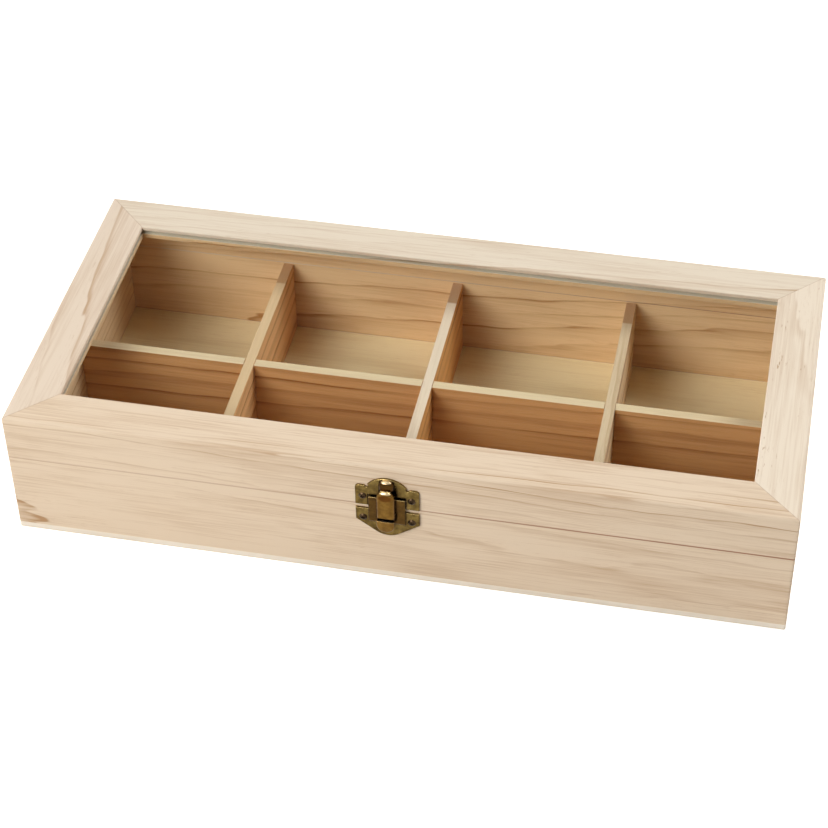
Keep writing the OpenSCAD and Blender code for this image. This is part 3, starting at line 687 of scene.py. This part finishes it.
# Clasp screws and the lever's pin: round-headed steel screws, plated darker than the plates, with a cross
# recess. The pin is a plain rod that the plate's two lugs hold.
screw_bronze = antique_bronze("dark_bronze_screw", "2A1E14", "4E3E2C", 0.3)


def coat(node, material):
    """Gives a CAD piece this material all over."""
    for slot in frame["nodes"][node].material_slots:
        slot.material = material


for node in ("catch_plate_screws", "latch_plate_screws", "latch_pin"):
    coat(node, screw_bronze)

# Hinges: small butt hinges let into the back of both rims, of bronzed steel like the clasp. Each has two
# leaves on a pin, and countersunk screws.
for side in ("left", "right"):
    for name in ("base_leaf", "lid_leaf", "pin", "base_screws", "lid_screws"):
        coat(f"{side}_hinge_{name}", plate_bronze if name.endswith("leaf") else screw_bronze)

# The spring that lifts the lip, and the nails that hold the bottom from below: drawn steel wire, left
# bright. The nails are driven through the plywood into the walls.
bare_steel = antique_bronze("bright_steel_wire", "8E8E8A", "A5A5A0", 0.3)
for node in ("latch_spring", "bottom_panel_nails"):
    coat(node, bare_steel)

# Studio: softboxes, the key and a small glint in front on the left and the others at the sides and
# behind, and low fill lights that reach the outside of the case and hardly get into it. The surroundings
# look white to the camera, to metal and through glass, and give the wood almost no light of their own.
floor_reach = 0.7
floor_mesh = bpy.data.meshes.new("floor")
floor_corners = [(x * floor_reach, y * floor_reach, 0) for x, y in ((-1, -1), (1, -1), (1, 1), (-1, 1))]
floor_mesh.from_pydata(floor_corners, [], [(0, 1, 2, 3)])
floor = bpy.data.objects.new("floor", floor_mesh)
floor.location.z = -0.0002
bpy.context.scene.collection.objects.link(floor)


def seen(tree):
    """1 for rays from the camera, off a mirror or through glass, 0 for light on matt surfaces."""
    path = add(tree, "LightPath")
    direct = {0: path["Is Camera Ray"], 1: path["Is Glossy Ray"]}
    mirrored = add(tree, "Math", direct, operation="MAXIMUM")[0]
    return add(tree, "Math", {0: mirrored, 1: path["Is Transmission Ray"]}, operation="MAXIMUM")[0]


floor_material, tree = empty_material("pale_floor")
matt = add(tree, "BsdfDiffuse", {"Color": linear("EFEDEA")})[0]
whitening = add(tree, "Math", {0: seen(tree), 1: 0.6}, operation="MULTIPLY")[0]
lift = add(tree, "Emission", {"Strength": whitening})[0]
add(tree, "OutputMaterial", {"Surface": add(tree, "AddShader", {0: matt, 1: lift})[0]})
floor_mesh.materials.append(floor_material)

world = bpy.data.worlds.new("studio")
world.use_nodes = True
tree = world.node_tree
tree.nodes.clear()
brightness = add(tree, "MapRange", {"Value": seen(tree), "To Min": 0.015, "To Max": 1.0})[0]
sky = add(tree, "Background", {"Color": (1, 1, 1, 1), "Strength": brightness})[0]
add(tree, "OutputWorld", {"Surface": sky})
bpy.context.scene.world = world


def toward(around, up):
    """The direction this many degrees to the right of the front and above the floor."""
    side = math.radians(around)
    rise = math.radians(up)
    return Vector((math.sin(side) * math.cos(rise), -math.cos(side) * math.cos(rise), math.sin(rise)))


def softbox(name, around, up, strength, width):
    """A round softbox that looks this many degrees wide. Strength 1 lights matt white to full white."""
    distance = 1.5
    light = bpy.data.lights.new(name, "AREA")
    light.shape = "DISK"
    light.size = 2 * distance * math.tan(math.radians(width / 2))
    light.energy = (math.pi * distance) ** 2 * strength
    holder = bpy.data.objects.new(name, light)
    holder.location = toward(around, up) * distance
    holder.rotation_mode = "QUATERNION"
    holder.rotation_quaternion = toward(around, up).to_track_quat("Z", "Y")
    holder.visible_camera = False
    bpy.context.scene.collection.objects.link(holder)


def low_fill(name, around, strength):
    """A far, soft light low above the floor."""
    up = 8
    light = bpy.data.lights.new(name, "SUN")
    light.energy = math.pi * strength
    light.angle = math.radians(24)
    holder = bpy.data.objects.new(name, light)
    holder.rotation_mode = "QUATERNION"
    holder.rotation_quaternion = toward(around, up).to_track_quat("Z", "Y")
    bpy.context.scene.collection.objects.link(holder)


softbox("key", -32, 35, 0.58, 30)
softbox("glint", -12, 39, 0.06, 11)
softbox("left", -62, 38, 0.20, 45)
softbox("back_right", 120, 50, 0.47, 30)
softbox("above_left", -100, 62, 0.12, 45)
low_fill("low_left", -115, 0.42)
low_fill("low_right", 100, 0.20)
low_fill("low_back", 155, 0.30)

# Camera: a long lens at the photograph's angle, 12 degrees right of the front and 42 degrees up. The
# picture is turned by 1 degree, as the photograph is.
camera_turn = math.radians(12.248)
camera_height = math.radians(41.689)
camera_roll = math.radians(-1.111)
camera_distance = 1.0275
look_at = Vector((-0.0117, 0.0243, 0.0))
back = Vector((
    math.sin(camera_turn) * math.cos(camera_height), -math.cos(camera_turn) * math.cos(camera_height),
    math.sin(camera_height),
))
camera_data = bpy.data.cameras.new("camera")
camera_data.lens = 96.28
camera_data.sensor_width = 36
camera = bpy.data.objects.new("camera", camera_data)
camera.rotation_mode = "QUATERNION"
camera.location = look_at + back * camera_distance
camera.rotation_quaternion = (-back).to_track_quat("-Z", "Y") @ Quaternion((0, 0, 1), camera_roll)
bpy.context.scene.collection.objects.link(camera)
bpy.context.scene.camera = camera
bpy.context.scene.view_settings.view_transform = "Standard"
